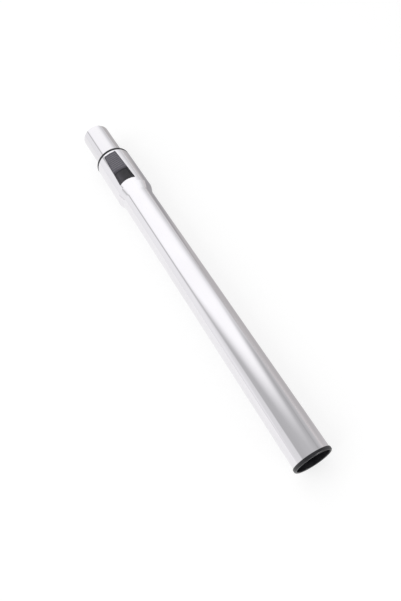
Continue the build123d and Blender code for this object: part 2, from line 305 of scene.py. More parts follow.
def new_group(effect: Effect, inputs: dict[str, tuple[SocketKind, object]],
              outputs: dict[str, SocketKind]) -> tuple[Graph, dict[str, Socket], dict[str, Socket]]:
    """Start a shader node group.

    Args:
        effect: which effect it is, and so its name.
        inputs: socket name to kind and default.
        outputs: socket name to kind.

    Returns:
        The group's graph, its inner input sockets and its inner output sockets.
    """
    tree = bpy.data.node_groups.new(effect.value, "ShaderNodeTree")
    for name, (kind, default) in inputs.items():
        socket = tree.interface.new_socket(name, in_out="INPUT", socket_type=kind.value)
        socket.default_value = default
    for name, kind in outputs.items():
        tree.interface.new_socket(name, in_out="OUTPUT", socket_type=kind.value)
    graph = Graph(tree)
    entry = graph.add("NodeGroupInput")
    leave = graph.add("NodeGroupOutput")
    return graph, {s.name: s for s in entry.outputs if s.name}, {s.name: s for s in leave.inputs if s.name}


class SharedEffects:
    """Builds the shared node groups and places them in materials."""

    def build(self) -> None:
        """Build every shared group once."""
        self._polish()
        self._grain()
        self._film()

    def _polish(self) -> None:
        """Fine lines along the tube and soft uneven patches left by polishing."""
        graph, given, out = new_group(
            Effect.POLISH,
            {"Line Density": (SocketKind.VALUE, 900.0), "Patch Size": (SocketKind.VALUE, 40.0),
             "Low Roughness": (SocketKind.VALUE, 0.03), "High Roughness": (SocketKind.VALUE, 0.08)},
            {"Roughness": SocketKind.VALUE, "Height": SocketKind.VALUE, "Tone": SocketKind.VALUE})
        line_share = 0.55
        patch_share = 0.45
        place = graph.place()
        long_lines = graph.stretch(place, scale=(0.02, 1.0, 1.0))
        lines = graph.noise(long_lines, given["Line Density"], detail=4.0, rough=0.6)
        long_patches = graph.stretch(place, scale=(0.4, 1.0, 1.0))
        patches = graph.noise(long_patches, given["Patch Size"], detail=3.0, rough=0.55)
        blend = graph.math("ADD", graph.math("MULTIPLY", lines, line_share),
                           graph.math("MULTIPLY", patches, patch_share))
        rough = graph.spread(blend, span=(0.32, 0.68), to_low=given["Low Roughness"],
                             to_high=given["High Roughness"])
        graph.join(rough, out["Roughness"])
        graph.join(lines, out["Height"])
        graph.join(graph.rise(patches, span=(0.3, 0.7), smooth=True), out["Tone"])

    def _grain(self) -> None:
        """Fine spark-eroded grain of a moulded surface, with a slow change of tone."""
        graph, given, out = new_group(
            Effect.GRAIN,
            {"Grain Size": (SocketKind.VALUE, 2600.0), "Rough": (SocketKind.VALUE, 0.45),
             "Dark": (SocketKind.COLOUR, grey(0.01)), "Light": (SocketKind.COLOUR, grey(0.02))},
            {"Colour": SocketKind.COLOUR, "Roughness": SocketKind.VALUE, "Height": SocketKind.VALUE})
        cell_height = 0.6
        half = 0.5
        place = graph.place()
        cells = graph.add("ShaderNodeTexVoronoi", feature="SMOOTH_F1")
        graph.join(place, cells.inputs["Vector"])
        graph.join(given["Grain Size"], cells.inputs["Scale"])
        fine = graph.noise(place, given["Grain Size"], detail=2.0)
        slow = graph.noise(place, scale=55.0, detail=3.0)
        height = graph.math("ADD", graph.math("MULTIPLY", cells.outputs["Distance"], cell_height), fine)
        tone = graph.math("ADD", graph.math("MULTIPLY", fine, half), graph.math("MULTIPLY", slow, half))
        shade = graph.rise(tone, span=(0.35, 0.65))
        graph.join(graph.mix(shade, given["Dark"], given["Light"]), out["Colour"])
        change = graph.spread(slow, span=(0.3, 0.7), to_low=-0.05, to_high=0.06)
        graph.join(graph.math("ADD", given["Rough"], change), out["Roughness"])
        graph.join(height, out["Height"])

    def _film(self) -> None:
        """Thin film from handling: faint blotches, strongest where they overlap."""
        graph, given, out = new_group(
            Effect.FILM,
            {"Amount": (SocketKind.VALUE, 0.1), "Blotch Size": (SocketKind.VALUE, 70.0)},
            {"Mask": SocketKind.VALUE})
        finer = 9.0
        close_lift = 0.5
        place = graph.place()
        wide = graph.noise(place, given["Blotch Size"], detail=4.0, rough=0.6)
        close_size = graph.math("MULTIPLY", given["Blotch Size"], finer)
        close = graph.noise(place, close_size, detail=3.0, rough=0.6)
        overlap = graph.math("MULTIPLY", wide, graph.math("ADD", close, close_lift))
        blotch = graph.rise(overlap, span=(0.42, 0.75), smooth=True)
        graph.join(graph.math("MULTIPLY", blotch, given["Amount"]), out["Mask"])

    @staticmethod
    def put(graph: Graph, effect: Effect, **values: object) -> bpy.types.Node:
        """Place a shared group in a material.

        Args:
            graph: the material's graph.
            effect: which group.
            values: its inputs, with underscores for spaces.

        Returns:
            The group node.
        """
        node = graph.add("ShaderNodeGroup", node_tree=bpy.data.node_groups[effect.value])
        for name, value in values.items():
            node.inputs[name.replace("_", " ").title()].default_value = value
        return node


@dataclass(frozen=True)
class Finish:
    """A finish: one named material.

    Args:
        name: the material's name.
    """

    made: ClassVar[dict[str, bpy.types.Material]] = {}

    name: str

    def material(self) -> bpy.types.Material:
        """The material, built at its first use.

        Returns:
            The finished material.
        """
        if self.name not in self.made:
            material = bpy.data.materials.new(self.name)
            material.use_nodes = True
            self.dress(Graph(material.node_tree), material.node_tree.nodes["Principled BSDF"])
            self.made[self.name] = material
        return self.made[self.name]

    def dress(self, graph: Graph, surface: bpy.types.Node) -> None:
        """Add the finish's own nodes."""

    @staticmethod
    def bump(graph: Graph, surface: bpy.types.Node, height: Socket, depth: float, edge: float = 0.0) -> None:
        """Give the surface a bump.

        Args:
            graph: the material's graph.
            surface: its shader.
            height: what the bump follows.
            depth: its depth in metres.
            edge: how far edges are rounded, or 0.
        """
        node = graph.add("ShaderNodeBump")
        node.inputs["Strength"].default_value = 1.0
        node.inputs["Distance"].default_value = depth
        graph.join(height, node.inputs["Height"])
        graph.join(node.outputs["Normal"], surface.inputs["Normal"])
        if edge > 0:
            soft = graph.add("ShaderNodeBevel")
            soft.inputs["Radius"].default_value = edge
            graph.join(soft.outputs["Normal"], node.inputs["Normal"])


@dataclass(frozen=True)
class PolishedMetal(Finish):
    """Plated or plain metal with polishing lines.

    Args:
        light: colour of the bright patches.
        deep: colour of the deeper patches.
        smooth: lowest roughness.
        rough: highest roughness.
        line_depth: depth of the polishing lines in metres.
        film: how much handling film lies on it.
        film_colour: colour of that film.
        film_rough: how much rougher full film is.
        edge: how far cut edges are rounded.
    """

    light: Colour = (0.836, 0.823, 0.848)
    deep: Colour = (0.811, 0.798, 0.824)
    smooth: float = 0.035
    rough: float = 0.075
    line_depth: float = 6e-7
    film: float = 0.06
    film_colour: Colour = (0.8, 0.8, 0.81)
    film_rough: float = 0.5
    edge: float = 0.0002

    def dress(self, graph: Graph, surface: bpy.types.Node) -> None:
        """Add polishing lines, patches and a faint film.

        Args:
            graph: the material's graph.
            surface: its shader.
        """
        marks = SharedEffects.put(graph, Effect.POLISH, low_roughness=self.smooth, high_roughness=self.rough)
        film = SharedEffects.put(graph, Effect.FILM, amount=self.film).outputs["Mask"]
        metal = graph.mix(marks.outputs["Tone"], opaque(self.light), opaque(self.deep))
        graph.join(graph.mix(film, metal, opaque(self.film_colour)), surface.inputs["Base Color"])
        dulled = graph.math("MULTIPLY", film, self.film_rough)
        rough = graph.math("ADD", marks.outputs["Roughness"], dulled)
        graph.join(rough, surface.inputs["Roughness"])
        surface.inputs["Metallic"].default_value = 1.0
        self.bump(graph, surface, marks.outputs["Height"], self.line_depth, self.edge)


@dataclass(frozen=True)
class Moulding(Finish):
    """Injection-moulded plastic with a fine grain.

    Args:
        dark: darker tone.
        light: lighter tone.
        roughness: middle roughness.
        grain: grain cells in a metre.
        grain_depth: depth of the grain in metres.
        film: how much handling film lies on it.
        film_colour: colour of that film.
        blotch: blotches of film in a metre.
        edge: how far edges are rounded.
        gloss: how strongly the surface mirrors.
    """

    dark: Colour = (0.004, 0.004, 0.006)
    light: Colour = (0.008, 0.008, 0.011)
    roughness: float = 0.38
    grain: float = 2600.0
    grain_depth: float = 1.2e-5
    film: float = 0.05
    film_colour: Colour = (0.35, 0.35, 0.36)
    blotch: float = 120.0
    edge: float = 0.0
    gloss: float = 0.5

    def dress(self, graph: Graph, surface: bpy.types.Node) -> None:
        """Add grain, tone and a faint film.

        Args:
            graph: the material's graph.
            surface: its shader.
        """
        surface.inputs["Specular IOR Level"].default_value = self.gloss
        grain = SharedEffects.put(graph, Effect.GRAIN, grain_size=self.grain, rough=self.roughness,
                                  dark=opaque(self.dark), light=opaque(self.light))
        self.soil(graph, surface, grain.outputs["Colour"])
        graph.join(grain.outputs["Roughness"], surface.inputs["Roughness"])
        self.bump(graph, surface, grain.outputs["Height"], self.grain_depth, self.edge)

    def soil(self, graph: Graph, surface: bpy.types.Node, tone: Socket) -> None:
        """Lay the handling film over the surface's own tone.

        Args:
            graph: the material's graph.
            surface: its shader.
            tone: the tone under the film.
        """
        film = SharedEffects.put(graph, Effect.FILM, amount=self.film, blotch_size=self.blotch)
        soiled = graph.mix(film.outputs["Mask"], tone, opaque(self.film_colour))
        graph.join(soiled, surface.inputs["Base Color"])


@dataclass(frozen=True)
class ThumbSlide(Moulding):
    """Slide button's moulding: a grained pad whose ribs are rubbed paler, and a smoother dish below it with
    painted shade (its tones painted darker than the pad's), plus painted light on the dish's +Y side and on
    the pad's step.

    Args:
        shaded_dish_dark: dish's darker tone, painted dark as the shade in the recess.
        shaded_dish_pale: dish's lighter tone, also painted dark as the shade in the recess.
        dish_painted_lit_side: painted light, the paler tone of the dish's +Y side, where the key light falls.
        rubbed: colour of the rubbed rib tops.
        dish_end: where the dish ends, along the tube.
        pad_begin: where the pad's own tone is full.
        pad_top: height of the pad's face at its lower edge.
        pad_slope: how much the face falls for each metre along the tube.
        rib_height: how far the ribs stand out.
        rub_begin: share of that height at which the rubbing begins.
        step: where the pad's step stands, along the tube.
        step_painted_light: painted light, the pale colour of a thin band at the step that lifts it out of its
            shade.
    """

    shaded_dish_dark: Colour = (0.012, 0.011, 0.014)
    shaded_dish_pale: Colour = (0.022, 0.021, 0.025)
    dish_painted_lit_side: Colour = (0.05, 0.047, 0.056)
    rubbed: Colour = (0.2, 0.195, 0.21)
    dish_end: float = 0.3685
    pad_begin: float = 0.3716
    pad_top: float = 0.0209
    pad_slope: float = 0.0091
    rib_height: float = 0.00035
    rub_begin: float = 0.3
    step: float = 0.37195
    step_painted_light: Colour = (0.2, 0.19, 0.215)

    def dress(self, graph: Graph, surface: bpy.types.Node) -> None:
        """Add both zones, the dish's painted shade, the painted light on the dish's +Y side and on the step,
        the rubbed ribs and the grain.

        Args:
            graph: the material's graph.
            surface: its shader.
        """
        surface.inputs["Specular IOR Level"].default_value = self.gloss
        along, side, height = graph.parts(graph.place())
        on_pad = graph.rise(along, (self.dish_end, self.pad_begin), smooth=True)
        pad = SharedEffects.put(graph, Effect.GRAIN, grain_size=self.grain, rough=self.roughness,
                                dark=opaque(self.dark), light=opaque(self.light))
        # Painted shade: the dish's grain uses tones painted much darker than the pad's, as the shade in the
        # recess.
        dish = SharedEffects.put(graph, Effect.GRAIN, grain_size=2 * self.grain, rough=0.4,
                                 dark=opaque(self.shaded_dish_dark), light=opaque(self.shaded_dish_pale))
        fall = graph.math("MULTIPLY", graph.math("SUBTRACT", along, self.dish_end), self.pad_slope)
        above = graph.math("SUBTRACT", graph.math("ADD", height, fall), self.pad_top)
        worn = graph.rise(above, (self.rub_begin * self.rib_height, self.rib_height), smooth=True)
        face = graph.mix(worn, pad.outputs["Colour"], opaque(self.rubbed))
        # Painted light: the dish is painted paler towards +Y, the side that the key light falls on.
        painted_lit_side_share = graph.rise(side, span=(-0.002, 0.007), smooth=True)
        hollow = graph.mix(painted_lit_side_share, dish.outputs["Colour"], opaque(self.dish_painted_lit_side))
        tone = graph.mix(on_pad, hollow, face)
        # Painted light: a thin band at the pad's step is painted pale, to lift the step face out of its
        # shade.
        off_step = graph.math("ABSOLUTE", graph.math("SUBTRACT", along, self.step))
        painted_light_on_step = graph.fall(off_step, span=(0.0001, 0.0004))
        self.soil(graph, surface, graph.mix(painted_light_on_step, tone, opaque(self.step_painted_light)))
        whole = (0.0, 1.0)
        rough = graph.spread(on_pad, whole, dish.outputs["Roughness"], pad.outputs["Roughness"])
        graph.join(rough, surface.inputs["Roughness"])
        grain_share = graph.spread(on_pad, whole, to_low=0.2, to_high=1.0)
        coarse = graph.math("MULTIPLY", pad.outputs["Height"], grain_share)
        self.bump(graph, surface, coarse, self.grain_depth, self.edge)


@dataclass(frozen=True)
class Felt(Finish):
    """Pressed felt: tangled short fibres.

    Args:
        dark: colour between the fibres.
        light: colour of the fibres.
        depth: depth of the tangle in metres.
    """

    dark: Colour = (0.12, 0.12, 0.125)
    light: Colour = (0.34, 0.34, 0.34)
    depth: float = 2e-4

    def dress(self, graph: Graph, surface: bpy.types.Node) -> None:
        """Add fibre tangle to colour and height.

        Args:
            graph: the material's graph.
            surface: its shader.
        """
        lie = graph.stretch(graph.place(), scale=(1.0, 2.2, 0.7))
        tangle = graph.noise(lie, scale=1500.0, detail=6.0, rough=0.7)
        tone = graph.mix(tangle, opaque(self.dark), opaque(self.light))
        graph.join(tone, surface.inputs["Base Color"])
        rough = graph.spread(tangle, span=(0.3, 0.7), to_low=0.85, to_high=1.0)
        graph.join(rough, surface.inputs["Roughness"])
        self.bump(graph, surface, tangle, self.depth)


@dataclass(frozen=True)
class PaleFloor(Finish):
    """Pale plain studio floor, lifted to white where it is looked at directly or in a reflection.

    Args:
        tone: its two greys under the light.
        glow: the two greys of the lift.
        lift: strength of the lift.
    """

    tone: Span = (0.35, 0.37)
    glow: Span = (1.0, 0.97)
    lift: float = 0.69

    def dress(self, graph: Graph, surface: bpy.types.Node) -> None:
        """Add a barely uneven pale tone and the lift.

        Args:
            graph: the material's graph.
            surface: its shader.
        """
        soft = graph.noise(graph.place(), scale=3.0, detail=2.0)
        graph.join(graph.mix(soft, *map(grey, self.tone)), surface.inputs["Base Color"])
        graph.join(graph.mix(soft, *map(grey, self.glow)), surface.inputs["Emission Color"])
        surface.inputs["Roughness"].default_value = 0.9
        surface.inputs["Specular IOR Level"].default_value = 0.0
        path = graph.add("ShaderNodeLightPath")
        seen = graph.math("ADD", path.outputs["Is Camera Ray"], path.outputs["Is Glossy Ray"])
        seen = graph.math("ADD", seen, path.outputs["Is Transmission Ray"])
        lift = graph.math("MULTIPLY", graph.math("MINIMUM", seen, 1.0), self.lift)
        graph.join(lift, surface.inputs["Emission Strength"])


CHROME_OUTER = PolishedMetal("chrome_plate_outer")
CHROME_INNER = PolishedMetal("chrome_plate_inner", light=(0.784, 0.772, 0.796), deep=(0.759, 0.747, 0.772))
BLACK_RING = Moulding("satin_black_ring", roughness=0.32, grain_depth=6e-6)
BLACK_SLEEVE = Moulding("satin_black_sleeve", dark=(0.012, 0.012, 0.014), light=(0.02, 0.02, 0.024),
                        roughness=0.6, edge=0.0002, gloss=0.25)
SLIDE_GREY = ThumbSlide("grained_slide", dark=(0.078, 0.073, 0.09), light=(0.11, 0.104, 0.126),
                        roughness=0.55, grain_depth=2.5e-5, edge=0.0002, gloss=0.25)
BUSH_PLASTIC = Moulding("bearing_plastic", dark=(0.5, 0.5, 0.48), light=(0.6, 0.6, 0.57))
BAR_STEEL = PolishedMetal("bar_steel", light=(0.62, 0.61, 0.6), deep=(0.5, 0.5, 0.5), smooth=0.25, rough=0.4)
SPRING_STEEL = PolishedMetal("spring_steel", light=(0.55, 0.55, 0.55), deep=(0.42, 0.42, 0.43), smooth=0.2,
                             rough=0.35, edge=0.0)
FELT = Felt("pressed_felt")
FLOOR = PaleFloor("pale_floor")


def rounded(corners: Sequence[tuple[float, float, float]], steps: int = 5) -> list[tuple[float, float]]:
    """Closed outline with rounded corners.

    Args:
        corners: for each corner its place along the tube, its radius and how far back its rounding begins.
        steps: stretches on each rounding.

    Returns:
        The outline's points, each a place along the tube and a radius.
    """
    outline: list[tuple[float, float]] = []
    for index, (along, radius, setback) in enumerate(corners):
        corner = Vector((along, radius))
        before = Vector(corners[index - 1][:2]) - corner
        after = Vector(corners[(index + 1) % len(corners)][:2]) - corner
        first = corner + before.normalized() * setback
        last = corner + after.normalized() * setback
        for step in range(steps + 1 if setback > 0 else 1):
            share = step / steps
            point = first * (1 - share) ** 2 + corner * 2 * share * (1 - share) + last * share ** 2
            outline.append((point.x, point.y))
    return outline


def finished_piece(name: str, points: Sequence[Sequence[float]], faces: Sequence[Sequence[int]]) -> Piece:
    """Make a piece from points and faces, with its faces outward and its round surfaces smooth.

    Args:
        name: the piece's name.
        points: its points in metres.
        faces: point numbers of each face.

    Returns:
        The new piece.
    """
    mesh = bpy.data.meshes.new(name)
    mesh.from_pydata(points, [], faces)
    work = bmesh.new()
    work.from_mesh(mesh)
    bmesh.ops.recalc_face_normals(work, faces=work.faces)
    work.to_mesh(mesh)
    work.free()
    mesh.shade_smooth()
    mesh.set_sharp_from_angle(angle=SHARP_ANGLE)
    piece = bpy.data.objects.new(name, mesh)
    bpy.context.scene.collection.objects.link(piece)
    return piece


def band(here: int, there: int, count: int) -> list[tuple[int, int, int, int]]:
    """Faces between two closed loops of points.

    Args:
        here: number of the first loop's first point.
        there: number of the second loop's first point.
        count: points in each loop.

    Returns:
        Point numbers of each face.
    """
    pairs = [(index, (index + 1) % count) for index in range(count)]
    return [(here + index, here + after, there + after, there + index) for index, after in pairs]


def turned(name: str, outline: Sequence[tuple[float, float]], sides: int,
           uneven: Callable[[float], float] = lambda turn: 0.0) -> Piece:
    """Ring turned about the tube's axis.

    Args:
        name: the piece's name.
        outline: closed outline of places along the tube and radii.
        sides: steps round the axis.
        uneven: change of radius at an angle round the axis.

    Returns:
        The new piece.
    """
    points = []
    faces = []
    count = len(outline)
    for side in range(sides):
        turn = math.tau * side / sides
        shift = uneven(turn)
        points.extend((along, (radius + shift) * math.sin(turn), (radius + shift) * math.cos(turn))
                      for along, radius in outline)
        faces.extend(band(side * count, (side + 1) % sides * count, count))
    return finished_piece(name, points, faces)


@dataclass
class SubAssembly:
    """Pieces of the tube that belong together."""

    def build(self) -> list[Piece]:
        """Build and dress the pieces and return them."""
        raise NotImplementedError

    @staticmethod
    def dress(node: str, finish: Finish) -> Piece:
        """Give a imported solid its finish.

        Args:
            node: the solid's name.
            finish: its finish.

        Returns:
            The solid.
        """
        solid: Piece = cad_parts[node]
        for slot in solid.material_slots:
            slot.material = finish.material()
        return solid

    def stand_for(self, piece: Piece, node: str, slot: Slot, finish: Finish, rides: bool = True) -> Piece:
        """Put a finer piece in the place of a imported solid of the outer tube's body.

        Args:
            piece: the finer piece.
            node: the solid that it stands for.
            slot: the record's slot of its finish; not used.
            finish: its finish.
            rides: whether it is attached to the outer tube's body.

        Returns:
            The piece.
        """
        self.dress(node, finish)
        piece.data.materials.append(finish.material())
        if rides:
            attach(piece, Body.OUTER.value)
        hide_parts(node)
        return piece


@dataclass
class TubePair(SubAssembly):
    """The two chromed tubes."""

    def build(self) -> list[Piece]:
        """Dress both tubes and return them."""
        return [self.dress("outer_tube", CHROME_OUTER), self.dress("inner_tube", CHROME_INNER)]


@dataclass
class MouthRing(SubAssembly):
    """Black ring in the wide end, with its edges rounded as a moulding has them.

    Args:
        flange: length of the flange outside the tube.
        sleeve_radius: radius of the sleeve inside the tube.
        bore: radius of the socket.
        edge: bevel of the flange's front edge.
        lead: bevel of the socket's mouth.
        soft: rounding of the bevels' edges; the flange's back edge has twice as much.
        sides: steps round the ring.
    """

    flange: float = 0.003
    sleeve_radius: float = 0.01685
    bore: float = 0.016
    edge: float = 0.0008
    lead: float = 0.0005
    soft: float = 0.00018
    sides: int = 192

    def build(self) -> list[Piece]:
        """Turn the ring from its outline.

        Returns:
            The ring.
        """
        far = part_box("end_ring")[1]
        length, radius = far.x, far.y
        outline = rounded([
            (0.0, self.bore + self.lead, self.soft),
            (0.0, radius - self.edge, self.soft),
            (self.edge, radius, self.soft),
            (self.flange, radius, 2 * self.soft),
            (self.flange, self.sleeve_radius, 0.0),
            (length, self.sleeve_radius, self.soft),
            (length, self.bore, self.soft),
            (self.lead, self.bore, self.soft),
        ])
        ring = turned("mouth_ring", outline, self.sides)
        return [self.stand_for(ring, "end_ring", Slot.BLACK_RING, BLACK_RING)]


@dataclass
class RunningParts(SubAssembly):
    """Hidden parts that the inner tube runs in: bush, sleeve and felt ring.

    Args:
        felt_gap: clearance of the felt on the inner tube.
        felt_soft: rounding of the felt's edges.
        felt_shag: unevenness of the felt's faces.
        shag_waves: its two numbers of waves round the felt.
        shag_shift: turn of the second wave.
        sides: steps round the felt.
    """

    felt_gap: float = 0.00007
    felt_soft: float = 0.0005
    felt_shag: float = 0.00002
    shag_waves: tuple[int, int] = (31, 47)
    shag_shift: float = 1.0
    sides: int = 240

    def build(self) -> list[Piece]:
        """Dress the bush and the sleeve and turn the felt ring.

        Returns:
            The three pieces.
        """
        bush = self.dress("guide_bush", BUSH_PLASTIC)
        sleeve = self.dress("guide_sleeve", BLACK_SLEEVE)
        return [bush, sleeve, self.felt_ring(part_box("inner_tube")[1].y + self.felt_gap)]

    def felt_ring(self, bore: float) -> Piece:
        """Felt ring with rounded, slightly uneven faces.

        Args:
            bore: its inner radius.

        Returns:
            The ring.
        """
        low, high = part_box("felt_seal")
        radius = high.y - self.felt_shag
        outline = rounded([(low.x, bore, self.felt_soft), (low.x, radius, self.felt_soft),
                           (high.x, radius, self.felt_soft), (high.x, bore, self.felt_soft)])
        ring = turned("felt_ring", outline, self.sides, self.shag)
        return self.stand_for(ring, "felt_seal", Slot.FELT, FELT)

    def shag(self, turn: float) -> float:
        """Change of the felt's radius at an angle."""
        first, second = self.shag_waves
        return self.felt_shag * 0.5 * (math.sin(first * turn) + math.sin(second * turn + self.shag_shift))


@dataclass
class CollarLatch(SubAssembly):
    """Thumb slide in the collar's window, its bar, its leaf spring and its two return springs.

    Args:
        wire: thickness of the return springs' wire.
        turns: turns of each return spring.
        steps: steps in one turn.
        wire_sides: steps round the wire.
        leaf_foot: length of each of the leaf spring's feet.
        leaf_back: length of its back, which lies on the bar.
        leaf_thickness: thickness of its strip.
    """

    wire: float = 0.00045
    turns: int = 3
    steps: int = 40
    wire_sides: int = 10
    leaf_foot: float = 0.0025
    leaf_back: float = 0.0026
    leaf_thickness: float = 0.0003

    def build(self) -> list[Piece]:
        """Dress the slide and the bar, bend the leaf spring and wind both return springs.

        Returns:
            The five pieces.
        """
        slide = self.dress("slide_button", SLIDE_GREY)
        bar = self.dress("locking_bar", BAR_STEEL)
        return [slide, bar, self.leaf_strip(), self.return_spring("left"), self.return_spring("right")]

    def leaf_strip(self) -> Piece:
        """Bent strip with its feet on the sleeve and its back on the bar, attached to no body.

        Returns:
            The strip.
        """
        low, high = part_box("leaf_spring")
        middle = (low.x + high.x) / 2
        back_foot = high.z - self.leaf_thickness
        stations = [(low.x, low.z), (low.x + self.leaf_foot, low.z), (middle - self.leaf_back / 2, back_foot),
                    (middle + self.leaf_back / 2, back_foot), (high.x - self.leaf_foot, low.z),
                    (high.x, low.z)]
        points = []
        for along, under in stations:
            over = under + self.leaf_thickness
            points.extend([(along, low.y, under), (along, high.y, under),
                           (along, high.y, over), (along, low.y, over)])
        count = len(points) // len(stations)
        last = len(points) - count
        faces = [tuple(range(count)), tuple(range(last, len(points)))]
        for here in range(0, last, count):
            faces.extend(band(here, here + count, count))
        strip = finished_piece("leaf_strip", points, faces)
        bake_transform(strip)
        return self.stand_for(strip, "leaf_spring", Slot.SPRING_STEEL, SPRING_STEEL, rides=False)

    def return_spring(self, side: str) -> Piece:
        """Round-wire spring, wound at rest; nothing here shortens it as the slide is pushed.

        Args:
            side: which of the two.

        Returns:
            The spring.
        """
        node = f"return_spring_{side}"
        low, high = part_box(node)
        middle = (low + high) / 2
        radius = (high.y - low.y - self.wire) / 2
        start = low.x + self.wire / 2
        length = high.x - low.x - self.wire
        spring = self.coil(f"coil_{side}", Vector((start, middle.y, middle.z)), length, radius)
        self.stand_for(spring, node, Slot.SPRING_STEEL, SPRING_STEEL)
        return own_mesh(spring)

    def coil(self, name: str, start: Vector, length: float, radius: float) -> Piece:
        """Wire wound about a line along the tube.

        Args:
            name: the piece's name.
            start: middle of the first turn.
            length: length of the winding.
            radius: radius to the wire's middle.

        Returns:
            The coil.
        """
        points = []
        faces = []
        total = self.turns * self.steps
        lead = math.atan2(length, math.tau * radius * self.turns)
        for step in range(total + 1):
            turn = math.tau * step / self.steps
            outward = Vector((0, math.cos(turn), math.sin(turn)))
            tilt = math.sin(lead)
            along = Vector((math.cos(lead), tilt * math.sin(turn), -tilt * math.cos(turn)))
            middle = start + Vector((length * step / total, 0, 0)) + outward * radius
            for side in range(self.wire_sides):
                angle = math.tau * side / self.wire_sides
                points.append(middle + (outward * math.cos(angle) + along * math.sin(angle)) * self.wire / 2)
        for step in range(total):
            here = step * self.wire_sides
            faces.extend(band(here, here + self.wire_sides, self.wire_sides))
        faces.append(tuple(range(self.wire_sides)))
        faces.append(tuple(range(total * self.wire_sides, (total + 1) * self.wire_sides)))
        return finished_piece(name, points, faces)


@dataclass
class Studio:
    """Camera, floor and soft light.

    Args:
        eye: camera's place.
        right: camera's right direction.
        up: camera's up direction.
        lens: focal length for a 36 mm long side.
        ring_back: where the end ring's flange ends.
        collar_start: where the collar's full width begins.
        gap: air between the tube and the floor.
        card_height: height of the overhead card above the tube's axis.
        room: greys of the room by angle from overhead.
        far: greys of the overhead card towards the far end.
        near: greys of the overhead card above the wide end.
        dim_room: colour of the room beside the tube's middle on its -Y side.
        near_room: colour of the room beside the wide end on the same side.
        mouth_room: colour of the room beside the wide end on its +Y side.
        haze: colour that the overhead card pales to along the tube.
        beside: side card's colour close to the tube, the darkest part of its painted shadow.
        away: side card's colour away from the tube, where its painted shadow is paler.
        by_mouth: side card's colour beside the mouth.
        stripe: where the side card's dark stripe crosses it, along the tube.
        stripe_colour: colour of that stripe.
    """

    eye: Sequence[float] = (-0.0819, 0.0354, 0.4598)
    right: Sequence[float] = (-0.47827, -0.85052, -0.21879)
    up: Sequence[float] = (0.72271, -0.52271, 0.45217)
    lens: float = 32.63
    ring_back: float = 0.003
    collar_start: float = 0.3445
    gap: float = 1e-5
    card_height: float = 0.25
    room: Stops = ((-100, 0.62), (-80, 0.74), (-66, 0.9), (-50, 1.0), (42, 1.0), (45, 0.6), (50, 0.95),
                   (100, 0.97))
    far: Stops = ((-100, 0.52), (-80, 0.62), (-66, 0.77), (-50, 0.95), (-30, 1.0), (30, 0.98), (36, 0.94),
                  (41, 0.79), (44, 0.45), (47, 0.45), (51, 0.82), (100, 0.82))
    near: Stops = ((-100, 0.52), (-80, 0.53), (-69, 0.47), (-61, 0.42), (-57, 0.36), (-52, 0.42), (-40, 0.46),
                   (4, 0.47), (30, 0.435), (44, 0.43), (50, 0.68), (70, 0.71), (100, 0.75))
    dim_room: Colour = (0.55, 0.535, 0.53)
    near_room: Colour = (0.69, 0.667, 0.66)
    mouth_room: Colour = (0.88, 0.873, 0.885)
    haze: Colour = (0.6, 0.595, 0.6)
    beside: Colour = (0.525, 0.51, 0.51)
    away: Colour = (0.65, 0.628, 0.625)
    by_mouth: Colour = (0.66, 0.645, 0.65)
    stripe: float = 0.385
    stripe_colour: Colour = (0.4, 0.39, 0.4)

    def build(self) -> None:
        """Set up the camera, the floor, the lamps and the surroundings."""
        self.camera()
        self.floor()
        self.lamps()
        self.sky()
        self.overhead()
        self.painted_floor_shade()

    def camera(self) -> None:
        """Place the camera at the photograph's viewpoint."""
        data = bpy.data.cameras.new("camera")
        data.lens = self.lens
        data.sensor_width = 36.0
        data.clip_start = 0.01
        data.clip_end = 50.0
        camera = bpy.data.objects.new("camera", data)
        bpy.context.scene.collection.objects.link(camera)
        right = Vector(self.right).normalized()
        up = Vector(self.up).normalized()
        turn = Matrix((right, up, right.cross(up))).transposed().to_4x4()
        camera.matrix_world = Matrix.Translation(Vector(self.eye)) @ turn
        bpy.context.scene.camera = camera

    def floor(self) -> None:
        """Lay the floor against the end ring and the collar."""
        half = 15.0
        floor = self.sheet("floor", (-half, -half), (half, half), 0.0)
        floor.data.materials.append(FLOOR.material())

    def floor_height(self, along: float) -> float:
        """Height of the floor, which touches the end ring and the collar.

        Args:
            along: place along the tube.

        Returns:
            The height there, which is below 0.
        """
        ring_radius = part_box("end_ring")[1].y
        collar_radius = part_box("outer_tube")[1].y
        slope = (collar_radius - ring_radius) / (self.collar_start - self.ring_back)
        return -ring_radius - slope * (along - self.ring_back) - self.gap

    def sheet(self, name: str, low: Span, high: Span, lift: float) -> Piece:
        """Flat stage sheet that lies along the floor.

        Args:
            name: its name.
            low: its lowest X and Y.
            high: its highest X and Y.
            lift: its height above the floor.

        Returns:
            The sheet.
        """
        corners = [(low[0], low[1]), (high[0], low[1]), (high[0], high[1]), (low[0], high[1])]
        mesh = bpy.data.meshes.new(name)
        mesh.from_pydata([(x, y, self.floor_height(x) + lift) for x, y in corners], [], [(0, 1, 2, 3)])
        sheet = bpy.data.objects.new(name, mesh)
        bpy.context.scene.collection.objects.link(sheet)
        return sheet

    def lamp(self, name: str, place: Sequence[float], aim: Sequence[float], size: Span,
             watts: float, mirrored: bool = False) -> None:
        """Add a soft rectangular lamp.

        Args:
            name: its name.
            place: where it stands.
            aim: where it points.
            size: its two sides in metres.
            watts: its power.
            mirrored: whether reflections show it.
        """
        data = bpy.data.lights.new(name, "AREA")
        data.shape = "RECTANGLE"
        data.size, data.size_y = size
        data.energy = watts
        lamp = bpy.data.objects.new(name, data)
        bpy.context.scene.collection.objects.link(lamp)
        lamp.location = place
        lamp.rotation_mode = "QUATERNION"
        lamp.rotation_quaternion = (Vector(aim) - Vector(place)).to_track_quat("-Z", "Y")
        lamp.visible_camera = False
        lamp.visible_glossy = mirrored

